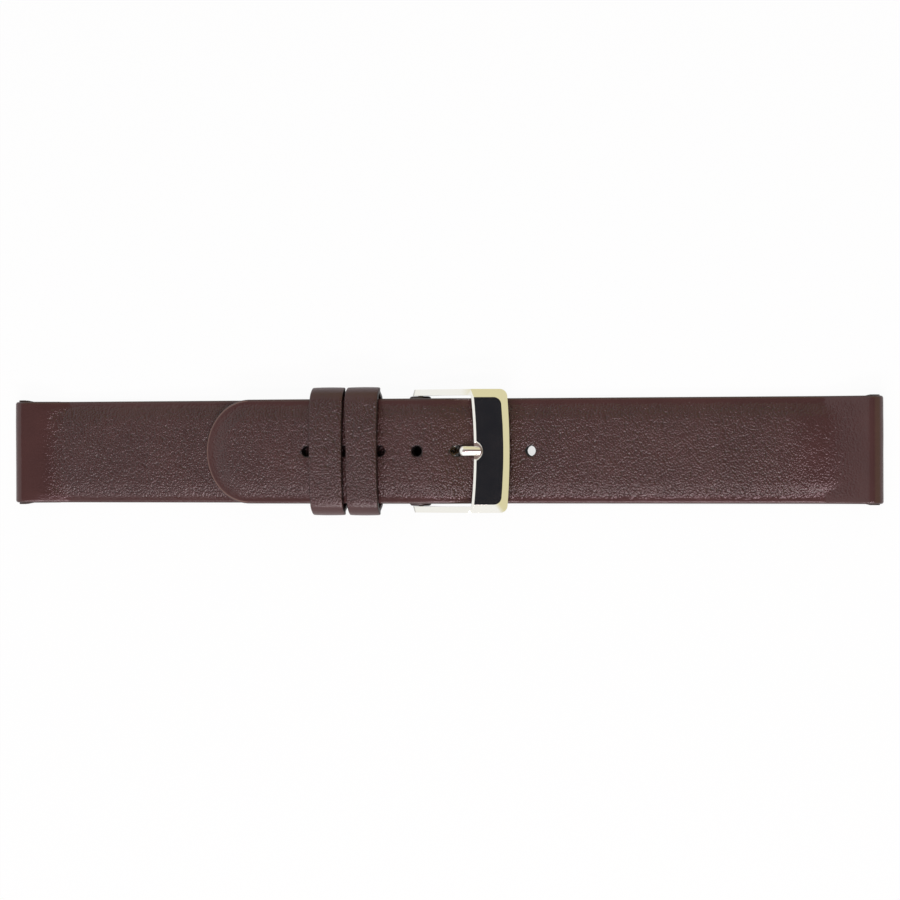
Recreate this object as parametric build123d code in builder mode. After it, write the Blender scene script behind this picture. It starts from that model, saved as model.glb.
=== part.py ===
from build123d import *
from math import asin, cos, degrees, radians, sin
import os

os.makedirs("parts", exist_ok=True)

# A two-piece leather watch strap, buckled and lying flat. X runs along the strap, the holed piece
# to +X, Z is up, and the origin is on the table under the middle of the whole strap.

# Sizes of the leather
strap_width = 18.0
face_thickness = 0.9
lining_thickness = 0.7
pad_height = 0.6
pad_margin_width = 1.3
pad_slope_width = 2.2
resting_gap = 0.05

# Lengths of the two pieces
short_length = 73.5
long_length = 116.9
tip_length = 7.9
tip_margin_width = 1.8
lug_margin_width = 5.0

# Tunnel for the watch's own spring bar at each outer end
lug_bore_radius = 0.9
tape_thickness = 0.25
fold_thickness = 0.6
lug_taper_length = 8.0
tape_reach_length = 6.0
tape_overhang_width = 0.15

# Adjustment holes
hole_count = 7
hole_diameter = 1.8
hole_pitch = 6.5
first_hole_length = 18.5
used_hole = 5
hole_stretch_length = 0.9

# Way of the long piece over the buckle bar and down to the table
bend_start_length = 0.5
bend_to_hole_length = 6.3
upper_bend_radius = 22.0
lower_bend_radius = 14.0
ramp_angle = 24.0

# Keepers
keeper_width = 5.85
keeper_skin_thickness = 0.6
keeper_lining_thickness = 0.5
keeper_side_clearance = 0.9
keeper_top_clearance = 0.15
keeper_corner_radius = 1.6
keeper_gap = 0.35
keeper_to_bar_length = 6.5

# Buckle loop of the short piece
loop_bore_radius = 0.85
loop_leather_thickness = 0.7
loop_taper_length = 6.2
loop_tape_length = 4.4
tongue_slot_width = 2.1
tongue_slot_length = 1.6

# Buckle frame
frame_side_clearance = 0.45
arm_thickness = 1.05
arm_height = 1.15
arm_bevel_angle = 16.0
knuckle_radius = 1.35
knuckle_taper_length = 4.5
crossbar_width = 6.0
crossbar_thickness = 1.6
crossbar_tilt = 14.0
crossbar_reach_length = 10.25
crossbar_height = 4.15
crossbar_bulge_depth = 0.45
crossbar_bow_depth = 0.6
crossbar_corner_radius = 1.3
bevel_depth = 0.45
outer_bevel_width = 1.05
inner_bevel_width = 0.4
end_bevel_width = 1.4
scoop_radius = 1.35
scoop_bevel_width = 0.4
scoop_depth = 1.1
tip_seat_depth = 0.65

# Tongue
tongue_width = 1.6
tongue_thickness = 0.7
tongue_side_height = 0.35
eye_thickness = 0.55
tongue_clearance = 0.05
tongue_overlap_length = 1.05
tongue_bend_radius = 0.75
shank_depth = 0.75
tongue_gap = 0.25

# Spring bar of the buckle
barrel_radius = 0.75
barrel_bore_radius = 0.55
barrel_lip_length = 0.4
plunger_radius = 0.4
plunger_head_radius = 0.5
plunger_head_length = 1.0
plunger_collar_radius = 0.65
plunger_collar_length = 0.3
plunger_collar_gap = 0.15
plunger_travel_length = 0.75
pin_clearance = 0.05
wire_radius = 0.09
wire_sides = 6
spring_turns = 7

overrun_length = 1.0
quarter_turn = 90
half_turn = 180

# Thicknesses that follow
edge_thickness = face_thickness + lining_thickness
full_thickness = edge_thickness + pad_height
half_width = strap_width / 2
lug_radius = lug_bore_radius + tape_thickness + fold_thickness
keeper_thickness = keeper_skin_thickness + keeper_lining_thickness
loop_radius = loop_bore_radius + tape_thickness + loop_leather_thickness

# Stations along the short piece, measured from its lug tunnel
bar_station = short_length - lug_radius
fixed_keeper_station = bar_station - keeper_to_bar_length - keeper_width
free_keeper_station = fixed_keeper_station - keeper_gap - keeper_width
loop_taper_station = bar_station - loop_taper_length
bar_height = full_thickness - loop_radius

# The short piece leans up from the table, because the keepers pass under it
lean = asin((keeper_thickness + resting_gap) / free_keeper_station)
ramp = radians(ramp_angle)
up_short = Vector(-sin(lean), 0, cos(lean))
along_short = Vector(cos(lean), 0, sin(lean))

# The long piece in side view: a run along the short piece, a bend down, a ramp, a bend to the
# table, and a flat run
bend_height = (
    lug_radius * (1 - cos(lean))
    + (bar_station + bend_start_length) * sin(lean)
    + (full_thickness + resting_gap) * cos(lean)
)
upper_bend_drop = upper_bend_radius * (cos(lean) - cos(ramp))
lower_bend_drop = lower_bend_radius * (1 - cos(ramp))
ramp_length = (bend_height - upper_bend_drop - lower_bend_drop) / sin(ramp)
upper_bend_reach = upper_bend_radius * (sin(lean) + sin(ramp))
lower_bend_reach = lower_bend_radius * sin(ramp)
overlap_run = first_hole_length + (used_hole - 1) * hole_pitch - bend_to_hole_length
bent_length = upper_bend_radius * (lean + ramp) + ramp_length + lower_bend_radius * ramp
flat_run = long_length - overlap_run - bent_length - lug_radius
bent_reach = upper_bend_reach + ramp_length * cos(ramp) + lower_bend_reach
start_reach = (bar_station + bend_start_length) * cos(lean) - (full_thickness + resting_gap) * sin(lean)
overall_length = 2 * lug_radius + lug_radius * sin(lean) + start_reach + bent_reach + flat_run
short_lug_x = lug_radius - overall_length / 2
long_lug_x = overall_length / 2 - lug_radius

# Side views and decks of the two pieces
short_origin = Vector(short_lug_x + lug_radius * sin(lean), 0, lug_radius * (1 - cos(lean)))
short_side = Plane(origin=short_origin, x_dir=along_short, z_dir=(0, -1, 0))
short_deck = Plane(origin=short_origin, x_dir=along_short, z_dir=up_short)
long_side = Plane(origin=(long_lug_x, 0, 0), x_dir=(-1, 0, 0), z_dir=(0, 1, 0))
long_deck = Plane(origin=(long_lug_x, 0, 0), x_dir=(-1, 0, 0), z_dir=(0, 0, 1))
bend_point = (
    short_origin
    + along_short * (bar_station + bend_start_length)
    + up_short * (full_thickness + resting_gap)
)
tip_point = bend_point - along_short * overlap_run
tip_deck = Plane(origin=tip_point, x_dir=along_short, z_dir=up_short)
ramp_down = Vector(cos(ramp), 0, -sin(ramp))
ramp_up = Vector(sin(ramp), 0, cos(ramp))
upper_bend_centre = bend_point - up_short * upper_bend_radius
ramp_start = upper_bend_centre + ramp_up * upper_bend_radius
ramp_end = ramp_start + ramp_down * ramp_length
lower_bend_centre = ramp_end + ramp_up * lower_bend_radius
bend_foot = Vector(long_lug_x - flat_run, 0, 0)
bar_centre = short_origin + along_short * bar_station + up_short * bar_height
buckle_side = Plane(origin=bar_centre, x_dir=(1, 0, 0), z_dir=(0, -1, 0))
bar_across = Plane(origin=bar_centre, x_dir=(1, 0, 0), z_dir=(0, 1, 0))


# Way of the underside of the long piece, from its tip to its lug tunnel
with BuildLine(Plane.XZ) as long_way:
    Line((tip_point.X, tip_point.Z), (bend_point.X, bend_point.Z))
    JernArc(
        (bend_point.X, bend_point.Z),
        (cos(lean), sin(lean)),
        upper_bend_radius,
        -degrees(lean + ramp),
    )
    Line((ramp_start.X, ramp_start.Z), (ramp_end.X, ramp_end.Z))
    JernArc(
        (ramp_end.X, ramp_end.Z), (cos(ramp), -sin(ramp)), lower_bend_radius, ramp_angle
    )
    Line((long_lug_x - flat_run, 0), (long_lug_x, 0))
underside = long_way.wires()[0]


def station(distance):
    """Plane on the underside of the long piece, facing up, at a distance from its tip."""
    point = underside.position_at(distance, position_mode=PositionMode.LENGTH)
    run = underside.tangent_at(distance, position_mode=PositionMode.LENGTH)
    return Plane(origin=point, x_dir=(0, -1, 0), z_dir=(-run.Z, 0, run.X))


def bend_band(low, high):
    """Side view of the bent stretch between two heights above its underside."""
    with BuildSketch(Plane.XZ) as view:
        with BuildLine():
            for height in (low, high):
                start = bend_point + up_short * height
                slope_start = ramp_start + ramp_up * height
                slope_end = ramp_end + ramp_up * height
                JernArc(
                    (start.X, start.Z),
                    (cos(lean), sin(lean)),
                    upper_bend_radius + height,
                    -degrees(lean + ramp),
                )
                Line((slope_start.X, slope_start.Z), (slope_end.X, slope_end.Z))
                JernArc(
                    (slope_end.X, slope_end.Z),
                    (cos(ramp), -sin(ramp)),
                    lower_bend_radius - height,
                    ramp_angle,
                )
            for place, rise in ((bend_point, up_short), (bend_foot, Vector(0, 0, 1))):
                foot = place + rise * low
                top = place + rise * high
                Line((foot.X, foot.Z), (top.X, top.Z))
        make_face()
    return view.sketch


def lug_wrap(side):
    """Side view of an outer end: the round tunnel drawn out to the thickness of the strap."""
    with BuildSketch(side) as view:
        with Locations((0, lug_radius)):
            Circle(lug_radius)
        with Locations((lug_taper_length, 0)):
            Rectangle(face_thickness, edge_thickness, align=(Align.MAX, Align.MIN))
        make_hull()
    return view.sketch


def teardrop(side, centre, bore_radius, reach):
    """Side view of a tape round a tunnel, filled, with its two ends meeting in the strap."""
    with BuildSketch(side) as view:
        with Locations(centre):
            Circle(bore_radius + tape_thickness)
        with Locations((centre[0] + reach, lining_thickness)):
            Circle(tape_thickness / 2)
        make_hull()
    return view.sketch


def slab(deck, start, end, low, high):
    """A full-width layer of leather between two stations and two heights."""
    with BuildSketch(deck.offset(low)) as plan:
        with Locations((start, 0)):
            Rectangle(end - start, strap_width, align=(Align.MIN, Align.CENTER))
    extrude(plan.sketch, amount=high - low)


def pad_run(deck, start, end, end_slope, foot):
    """A pad that slopes in at its sides and at its closed ends."""
    with BuildSketch(deck.offset(foot)) as base:
        with Locations((start, 0)):
            Rectangle(end - start, strap_width - 2 * pad_margin_width, align=(Align.MIN, Align.CENTER))
    with BuildSketch(deck.offset(foot + pad_height)) as crown:
        with Locations((start + pad_slope_width, 0)):
            Rectangle(
                end - start - pad_slope_width - end_slope,
                strap_width - 2 * pad_margin_width - 2 * pad_slope_width,
                align=(Align.MIN, Align.CENTER),
            )
    return loft([base.sketch, crown.sketch], ruled=True)


def tip_outline(height, tip_inset, side_inset):
    """Plan of the run from the oval tip to the bend, drawn in by a margin."""
    side = half_width - side_inset
    with BuildSketch(tip_deck.offset(height)) as plan:
        with BuildLine():
            EllipticalCenterArc(
                (tip_length, 0), tip_length - tip_inset, side, quarter_turn, arc_size=half_turn
            )
            Polyline((tip_length, side), (overlap_run, side), (overlap_run, -side), (tip_length, -side))
        make_face()
    return plan.sketch


def pad_section(plane, foot):
    """Section across a pad, its foot at a height above the plane's own line."""
    wide = half_width - pad_margin_width
    narrow = wide - pad_slope_width
    top = foot + pad_height
    with BuildSketch(plane) as section:
        with BuildLine():
            Polyline((-wide, foot), (wide, foot), (narrow, top), (-narrow, top), close=True)
        make_face()
    return section.sketch


def long_pad(foot, mode):
    """The pad of the long piece from its tip to its lug end, its foot at a height."""
    tip_base = tip_outline(foot, tip_margin_width, pad_margin_width)
    tip_crown = tip_outline(
        foot + pad_height, tip_margin_width + pad_slope_width, pad_margin_width + pad_slope_width
    )
    across = Vector(0, 1, 0)
    with BuildPart() as pad:
        loft([tip_base, tip_crown], ruled=True)
        start = Plane(origin=bend_point, x_dir=across, z_dir=along_short)
        upper_axis = Axis(upper_bend_centre, across)
        revolve(pad_section(start, foot), axis=upper_axis, revolution_arc=degrees(lean + ramp))
        middle = Plane(origin=ramp_start, x_dir=across, z_dir=ramp_down)
        extrude(pad_section(middle, foot), amount=ramp_length)
        low = Plane(origin=ramp_end, x_dir=across, z_dir=ramp_down)
        lower_axis = Axis(lower_bend_centre, across * -1)
        revolve(pad_section(low, foot), axis=lower_axis, revolution_arc=ramp_angle)
        pad_run(long_deck, lug_margin_width - lug_radius, flat_run, 0, foot)
    add(pad.part, mode=mode)


def punch_holes():
    """The row of adjustment holes; the one in use is drawn out by the tongue."""
    for index in range(hole_count):
        place = station(first_hole_length + index * hole_pitch).offset(-overrun_length)
        with BuildSketch(place) as hole:
            if index == used_hole - 1:
                with Locations((0, hole_stretch_length / 2)):
                    SlotCenterToCenter(hole_stretch_length, hole_diameter, rotation=90)
            else:
                Circle(hole_diameter / 2)
        extrude(hole.sketch, amount=full_thickness + 2 * overrun_length, mode=Mode.SUBTRACT)


# Long piece: lining, filler pad, face leather and the tape of its lug tunnel
with BuildPart() as long_lining:
    extrude(tip_outline(0, 0, 0), amount=lining_thickness)
    extrude(bend_band(0, lining_thickness), amount=half_width, both=True)
    slab(long_deck, lug_taper_length, flat_run, 0, lining_thickness)
    punch_holes()

with BuildPart() as long_filler:
    long_pad(lining_thickness, Mode.ADD)
    extrude(teardrop(long_side, (0, lug_radius), lug_bore_radius, tape_reach_length),
            amount=half_width, both=True, mode=Mode.SUBTRACT)
    punch_holes()

with BuildPart() as long_upper:
    extrude(tip_outline(lining_thickness, 0, 0), amount=face_thickness)
    extrude(bend_band(lining_thickness, edge_thickness), amount=half_width, both=True)
    slab(long_deck, lug_taper_length, flat_run, lining_thickness, edge_thickness)
    extrude(lug_wrap(long_side), amount=half_width, both=True)
    long_pad(edge_thickness, Mode.ADD)
    long_pad(lining_thickness, Mode.SUBTRACT)
    extrude(teardrop(long_side, (0, lug_radius), lug_bore_radius, tape_reach_length),
            amount=half_width, both=True, mode=Mode.SUBTRACT)
    punch_holes()


def lug_tape(side):
    """Tape round a lug tunnel, whose rim stands a little out of the leather."""
    extrude(teardrop(side, (0, lug_radius), lug_bore_radius, tape_reach_length),
            amount=half_width, both=True)
    with BuildSketch(side) as rim:
        with Locations((0, lug_radius)):
            Circle(lug_bore_radius + tape_thickness)
    extrude(rim.sketch, amount=half_width + tape_overhang_width, both=True)
    with BuildSketch(side) as bore:
        with Locations((0, lug_radius)):
            Circle(lug_bore_radius)
    extrude(bore.sketch, amount=strap_width, both=True, mode=Mode.SUBTRACT)


with BuildPart() as long_lug_tape:
    lug_tape(long_side)

# Short piece: the same layers, with a loop for the buckle bar at its inner end
short_pad_station = lug_margin_width - lug_radius

with BuildPart() as short_lining:
    slab(short_deck, lug_taper_length, loop_taper_station, 0, lining_thickness)

with BuildPart() as short_filler:
    pad_run(short_deck, short_pad_station, loop_taper_station, pad_slope_width, lining_thickness)
    extrude(teardrop(short_side, (0, lug_radius), lug_bore_radius, tape_reach_length),
            amount=half_width, both=True, mode=Mode.SUBTRACT)


def loop_slot():
    """Opening in the loop that lets the tongue swing."""
    with BuildSketch(short_deck.offset(bar_height)) as plan:
        with Locations((bar_station - tongue_slot_length, 0)):
            Rectangle(tongue_slot_length + loop_radius + overrun_length, tongue_slot_width,
                      align=(Align.MIN, Align.CENTER))
    extrude(plan.sketch, amount=loop_radius + overrun_length, both=True, mode=Mode.SUBTRACT)


loop_centre = (bar_station, bar_height)

with BuildPart() as short_upper:
    slab(short_deck, lug_taper_length, loop_taper_station, lining_thickness, edge_thickness)
    extrude(lug_wrap(short_side), amount=half_width, both=True)
    with BuildSketch(short_side) as loop_view:
        with Locations(loop_centre):
            Circle(loop_radius)
        with Locations((loop_taper_station, 0)):
            Rectangle(face_thickness, edge_thickness, align=(Align.MIN, Align.MIN))
        make_hull()
    extrude(amount=half_width, both=True)
    pad_run(short_deck, short_pad_station, loop_taper_station, pad_slope_width, edge_thickness)
    add(short_filler.part, mode=Mode.SUBTRACT)
    extrude(teardrop(short_side, (0, lug_radius), lug_bore_radius, tape_reach_length),
            amount=half_width, both=True, mode=Mode.SUBTRACT)
    extrude(teardrop(short_side, loop_centre, loop_bore_radius, -loop_tape_length),
            amount=half_width, both=True, mode=Mode.SUBTRACT)
    loop_slot()

with BuildPart() as short_lug_tape:
    lug_tape(short_side)

with BuildPart() as buckle_loop_tape:
    extrude(teardrop(short_side, loop_centre, loop_bore_radius, -loop_tape_length),
            amount=half_width, both=True)
    with BuildSketch(short_side) as loop_bore:
        with Locations(loop_centre):
            Circle(loop_bore_radius)
    extrude(amount=strap_width, both=True, mode=Mode.SUBTRACT)
    loop_slot()


# Keepers: each is a strip of leather and its lining, closed round both pieces
keeper_room = 2 * full_thickness + resting_gap + keeper_top_clearance
keeper_clear_width = strap_width + 2 * keeper_side_clearance


def keeper_ring(near, low_gap, inner_wall, outer_wall):
    """One layer of a keeper, from the station of its edge and its gap under the short piece."""
    face = Plane(
        origin=short_origin + along_short * near,
        x_dir=(0, 1, 0),
        z_dir=along_short,
    )
    middle = (keeper_room - low_gap) / 2
    with BuildSketch(face) as ring:
        with Locations((0, middle)):
            RectangleRounded(
                keeper_clear_width + 2 * outer_wall,
                keeper_room + low_gap + 2 * outer_wall,
                keeper_corner_radius - keeper_thickness + outer_wall,
            )
            RectangleRounded(
                keeper_clear_width + 2 * inner_wall,
                keeper_room + low_gap + 2 * inner_wall,
                keeper_corner_radius - keeper_thickness + inner_wall,
                mode=Mode.SUBTRACT,
            )
    extrude(ring.sketch, amount=keeper_width)


with BuildPart() as fixed_keeper_lining:
    keeper_ring(fixed_keeper_station, 0, 0, keeper_lining_thickness)

with BuildPart() as fixed_keeper_skin:
    keeper_ring(fixed_keeper_station, 0, keeper_lining_thickness, keeper_thickness)

with BuildPart() as free_keeper_lining:
    keeper_ring(free_keeper_station, resting_gap, 0, keeper_lining_thickness)

with BuildPart() as free_keeper_skin:
    keeper_ring(free_keeper_station, resting_gap, keeper_lining_thickness, keeper_thickness)

# Buckle frame: two arms from the bar, and the bevelled crossbar that leans with the strap
tilt = radians(crossbar_tilt)
frame_clear_half = half_width + frame_side_clearance
frame_half_width = frame_clear_half + arm_thickness
crossbar_middle = (
    bar_centre
    + Vector(crossbar_reach_length, 0, crossbar_height)
    + Vector(cos(tilt), 0, -sin(tilt)) * (crossbar_width / 2)
)
crossbar_top = Plane(
    origin=crossbar_middle, x_dir=(cos(tilt), 0, -sin(tilt)), z_dir=(sin(tilt), 0, cos(tilt))
)


def crossbar_outline(depth, inner_inset, outer_inset, end_inset):
    """Plan of the crossbar at a depth under its top: both long edges bow away from the bar."""
    inner = -crossbar_width / 2 + inner_inset
    outer = crossbar_width / 2 - outer_inset
    side = frame_half_width - end_inset
    shoulder = outer - crossbar_bulge_depth
    root = inner - crossbar_bow_depth
    with BuildSketch(crossbar_top.offset(-depth)) as plan:
        with BuildLine():
            Line((shoulder, side), (root, side))
            ThreePointArc((root, side), (inner, 0), (root, -side))
            Line((root, -side), (shoulder, -side))
            ThreePointArc((shoulder, -side), (outer, 0), (shoulder, side))
        make_face()
        fillet(plan.vertices().sort_by(Axis((0, 0, 0), crossbar_top.x_dir))[-2:],
               crossbar_corner_radius)
    return plan.sketch


# The arms curve up from the bar in one arc that runs into the underside of the crossbar, and their
# top and bottom are bevelled towards the outside
arm_depth = crossbar_thickness - arm_height / 2
arm_end = crossbar_middle - bar_centre - crossbar_top.z_dir * arm_depth

with BuildPart() as buckle_frame:
    with BuildSketch(buckle_side.offset(frame_clear_half)) as arm_view:
        with BuildLine() as arm_line:
            arm_arc = TangentArc(
                (arm_end.X, arm_end.Z), (0, 0), tangent=(-cos(tilt), sin(tilt))
            )
        trace(arm_line.line, line_width=arm_height)
        swell_end = arm_arc.position_at(
            arm_arc.length - knuckle_taper_length, position_mode=PositionMode.LENGTH
        )
        with BuildSketch(mode=Mode.PRIVATE) as swell:
            Circle(knuckle_radius)
            with Locations(swell_end):
                Circle(arm_height / 2)
            make_hull()
        add(swell.sketch)
    extrude(amount=arm_thickness, taper=arm_bevel_angle)
    mirror(about=Plane.XZ)
    loft(
        [crossbar_outline(bevel_depth, 0, 0, 0),
         crossbar_outline(0, inner_bevel_width, outer_bevel_width, end_bevel_width)],
        ruled=True,
    )
    extrude(crossbar_outline(bevel_depth, 0, 0, 0), amount=-(crossbar_thickness - bevel_depth))
    scoop_floor = bar_centre.Z + crossbar_height - scoop_depth
    scoop_centre = (bar_centre.X + crossbar_reach_length, 0)
    with BuildSketch(Plane.XY.offset(scoop_floor)) as scoop:
        with Locations(scoop_centre):
            Circle(scoop_radius)
    extrude(amount=scoop_depth + overrun_length, mode=Mode.SUBTRACT)
    with BuildSketch(Plane.XY.offset(scoop_floor + scoop_depth - scoop_bevel_width)):
        with Locations(scoop_centre):
            Circle(scoop_radius)
    with BuildSketch(Plane.XY.offset(scoop_floor + scoop_depth)):
        with Locations(scoop_centre):
            Circle(scoop_radius + scoop_bevel_width)
    loft(mode=Mode.SUBTRACT)
    with BuildSketch(bar_across) as tip_seat:
        Circle(plunger_radius + pin_clearance)
    extrude(amount=frame_clear_half + tip_seat_depth, both=True, mode=Mode.SUBTRACT)

# Tongue: an eye on the barrel, a shank under the strap, up through the hole and over to the bar
eye_bore_radius = barrel_radius + pin_clearance
eye_radius = eye_bore_radius + eye_thickness
hole_plane = station(first_hole_length + (used_hole - 1) * hole_pitch)
hole_run = hole_plane.y_dir
hole_up = hole_plane.z_dir
shank_end = hole_plane.origin - hole_up * shank_depth
over_height = full_thickness + tongue_gap + tongue_thickness / 2
shank_top = hole_plane.origin + hole_up * over_height + hole_run * (hole_stretch_length / 2)
tip_x = bar_centre.X + crossbar_reach_length + tongue_overlap_length
tip_z = scoop_floor + tongue_clearance + tongue_thickness / 2

with BuildPart() as buckle_tongue:
    with BuildLine(Plane.XZ) as tongue_line:
        FilletPolyline(
            (bar_centre.X + eye_bore_radius + eye_thickness / 2, bar_centre.Z),
            (shank_end.X, shank_end.Z),
            (shank_top.X, shank_top.Z),
            (tip_x, tip_z),
            radius=tongue_bend_radius,
        )
    root = tongue_line.line @ 0
    with BuildSketch(Plane(origin=root, x_dir=(0, 1, 0), z_dir=tongue_line.line % 0)):
        with BuildLine():
            foot = -tongue_thickness / 2
            side = tongue_width / 2
            shoulder = foot + tongue_side_height
            Polyline((-side, shoulder), (-side, foot), (side, foot), (side, shoulder))
            ThreePointArc((side, shoulder), (0, tongue_thickness / 2), (-side, shoulder))
        make_face()
    sweep()
    tip_centre = (tip_x - tongue_width / 2, 0)
    with BuildSketch(Plane.XY.offset(tip_z - tongue_thickness)):
        with Locations(tip_centre):
            Rectangle(tongue_width, tongue_width, align=(Align.MIN, Align.CENTER))
            Circle(tongue_width / 2, mode=Mode.SUBTRACT)
    extrude(amount=2 * tongue_thickness, mode=Mode.SUBTRACT)
    with BuildSketch(bar_across) as eye:
        Circle(eye_radius)
        Circle(eye_bore_radius, mode=Mode.SUBTRACT)
    extrude(amount=tongue_width / 2, both=True)

# Spring bar of the buckle: barrel, two plungers and the coil between them
collar_outer = frame_clear_half - plunger_collar_gap
collar_inner = collar_outer - plunger_collar_length
barrel_half = collar_inner - plunger_travel_length - pin_clearance

with BuildPart() as bar_barrel:
    with BuildSketch(bar_across) as tube:
        Circle(barrel_radius)
    extrude(amount=barrel_half, both=True)
    with BuildSketch(bar_across) as tube_bore:
        Circle(barrel_bore_radius)
    extrude(amount=barrel_half - barrel_lip_length, both=True, mode=Mode.SUBTRACT)
    with BuildSketch(bar_across) as lip_hole:
        Circle(plunger_radius + pin_clearance)
    extrude(amount=barrel_half + overrun_length, both=True, mode=Mode.SUBTRACT)

head_outer = barrel_half - barrel_lip_length - pin_clearance
head_inner = head_outer - plunger_head_length
tip_end = frame_clear_half + tip_seat_depth - pin_clearance


def turned(start, end, radius):
    """One cylindrical length of a plunger along the bar."""
    with BuildSketch(bar_across.offset(start)) as disc:
        Circle(radius)
    extrude(disc.sketch, amount=end - start)


with BuildPart() as bar_plunger_far:
    turned(head_inner, head_outer, plunger_head_radius)
    turned(head_outer, tip_end, plunger_radius)
    turned(collar_inner, collar_outer, plunger_collar_radius)

with BuildPart() as bar_plunger_near:
    add(bar_plunger_far.part.mirror(Plane.XZ))

spring_length = 2 * (head_inner - wire_radius - pin_clearance)
spring_radius = barrel_bore_radius - pin_clearance - wire_radius

with BuildPart() as bar_spring:
    with BuildLine() as coil:
        Helix(
            pitch=spring_length / spring_turns,
            height=spring_length,
            radius=spring_radius,
            center=bar_centre - Vector(0, spring_length / 2, 0),
            direction=(0, 1, 0),
        )
    with BuildSketch(Plane(origin=coil.line @ 0, z_dir=coil.line % 0)) as wire:
        RegularPolygon(wire_radius, wire_sides)
    sweep()

pieces = {
    "long_upper": long_upper,
    "long_lining": long_lining,
    "long_filler": long_filler,
    "long_lug_tape": long_lug_tape,
    "short_upper": short_upper,
    "short_lining": short_lining,
    "short_filler": short_filler,
    "short_lug_tape": short_lug_tape,
    "buckle_loop_tape": buckle_loop_tape,
    "fixed_keeper_skin": fixed_keeper_skin,
    "fixed_keeper_lining": fixed_keeper_lining,
    "free_keeper_skin": free_keeper_skin,
    "free_keeper_lining": free_keeper_lining,
    "buckle_frame": buckle_frame,
    "buckle_tongue": buckle_tongue,
    "bar_barrel": bar_barrel,
    "bar_spring": bar_spring,
    "bar_plunger_near": bar_plunger_near,
    "bar_plunger_far": bar_plunger_far,
}

for name, piece in pieces.items():
    piece.part.label = name
    export_step(piece.part, f"parts/{name}.step")
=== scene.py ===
from math import asin, atan2, cos, pi, radians, sin, sqrt

import bmesh
import bpy
import numpy as np
from mathutils import Matrix, Vector, noise


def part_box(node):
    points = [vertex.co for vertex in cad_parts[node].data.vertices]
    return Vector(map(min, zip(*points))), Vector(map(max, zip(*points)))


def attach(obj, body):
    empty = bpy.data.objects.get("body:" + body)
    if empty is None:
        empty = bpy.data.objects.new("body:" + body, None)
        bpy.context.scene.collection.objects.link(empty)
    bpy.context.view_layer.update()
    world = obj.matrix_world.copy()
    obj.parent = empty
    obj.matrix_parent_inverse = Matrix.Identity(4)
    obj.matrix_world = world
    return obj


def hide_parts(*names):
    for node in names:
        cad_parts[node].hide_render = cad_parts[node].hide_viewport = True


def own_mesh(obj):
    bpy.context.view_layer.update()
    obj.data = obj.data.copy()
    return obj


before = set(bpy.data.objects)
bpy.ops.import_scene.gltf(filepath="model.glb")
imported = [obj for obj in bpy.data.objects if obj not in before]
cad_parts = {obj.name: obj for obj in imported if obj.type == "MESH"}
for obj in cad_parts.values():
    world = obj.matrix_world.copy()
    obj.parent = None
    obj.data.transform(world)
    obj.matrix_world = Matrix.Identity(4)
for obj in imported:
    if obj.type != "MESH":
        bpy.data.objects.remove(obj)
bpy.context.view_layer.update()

MM = 0.001

# Sizes of the strap in millimetres, as in the part's source
HALF_WIDTH = 9.0
FACE = 0.9
LINING = 0.7
PAD = 0.6
EDGE = FACE + LINING
FULL = EDGE + PAD
REST_GAP = 0.05
SHORT_LENGTH = 73.5
LONG_LENGTH = 116.9
TIP_LENGTH = 7.9
LUG_BORE = 0.9
TAPE = 0.25
LUG_FOLD = 0.6
LUG_RADIUS = LUG_BORE + TAPE + LUG_FOLD
LUG_TAPER = 8.0
LUG_TAPE_REACH = 6.0
TAPE_OVERHANG = 0.15
HOLES = 7
HOLE_DIAMETER = 1.8
HOLE_PITCH = 6.5
FIRST_HOLE = 18.5
USED_HOLE = 5
HOLE_STRETCH = 0.9
BEND_START = 0.5
BEND_TO_HOLE = 6.3
UPPER_BEND = 22.0
LOWER_BEND = 14.0
RAMP = radians(24.0)
KEEPER_WIDTH = 5.85
KEEPER_SKIN = 0.6
KEEPER_LINING = 0.5
KEEPER_WALL = KEEPER_SKIN + KEEPER_LINING
KEEPER_LIP = 0.45
KEEPER_SIDE_ROOM = 0.9
KEEPER_TOP_ROOM = 0.15
KEEPER_CORNER = 1.6
KEEPER_GAP = 0.35
KEEPER_TO_BAR = 6.5
LOOP_BORE = 0.85
LOOP_LEATHER = 0.7
LOOP_RADIUS = LOOP_BORE + TAPE + LOOP_LEATHER
LOOP_TAPER = 6.2
LOOP_TAPE_REACH = 4.4
SLOT_WIDTH = 2.1
SLOT_LENGTH = 1.6

# Places that follow from those sizes
BAR_STATION = SHORT_LENGTH - LUG_RADIUS
FIXED_KEEPER = BAR_STATION - KEEPER_TO_BAR - KEEPER_WIDTH
FREE_KEEPER = FIXED_KEEPER - KEEPER_GAP - KEEPER_WIDTH
LEAN = asin((KEEPER_WALL + REST_GAP) / FREE_KEEPER)
OVERLAP_RUN = FIRST_HOLE + (USED_HOLE - 1) * HOLE_PITCH - BEND_TO_HOLE
LONG_LUG = LONG_LENGTH - LUG_RADIUS
LOOP_HEIGHT = FULL - LOOP_RADIUS
short_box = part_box("short_upper")
SHORT_LUG_X = short_box[0].x / MM + LUG_RADIUS
SHORT_START = np.array([SHORT_LUG_X + LUG_RADIUS * sin(LEAN), LUG_RADIUS * (1 - cos(LEAN))])


def rising(angle):
    """Direction square to a run at an angle above the table."""
    return np.array([-sin(angle), cos(angle)])


def heading(angle):
    """Direction of a run at an angle above the table."""
    return np.array([cos(angle), sin(angle)])


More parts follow.
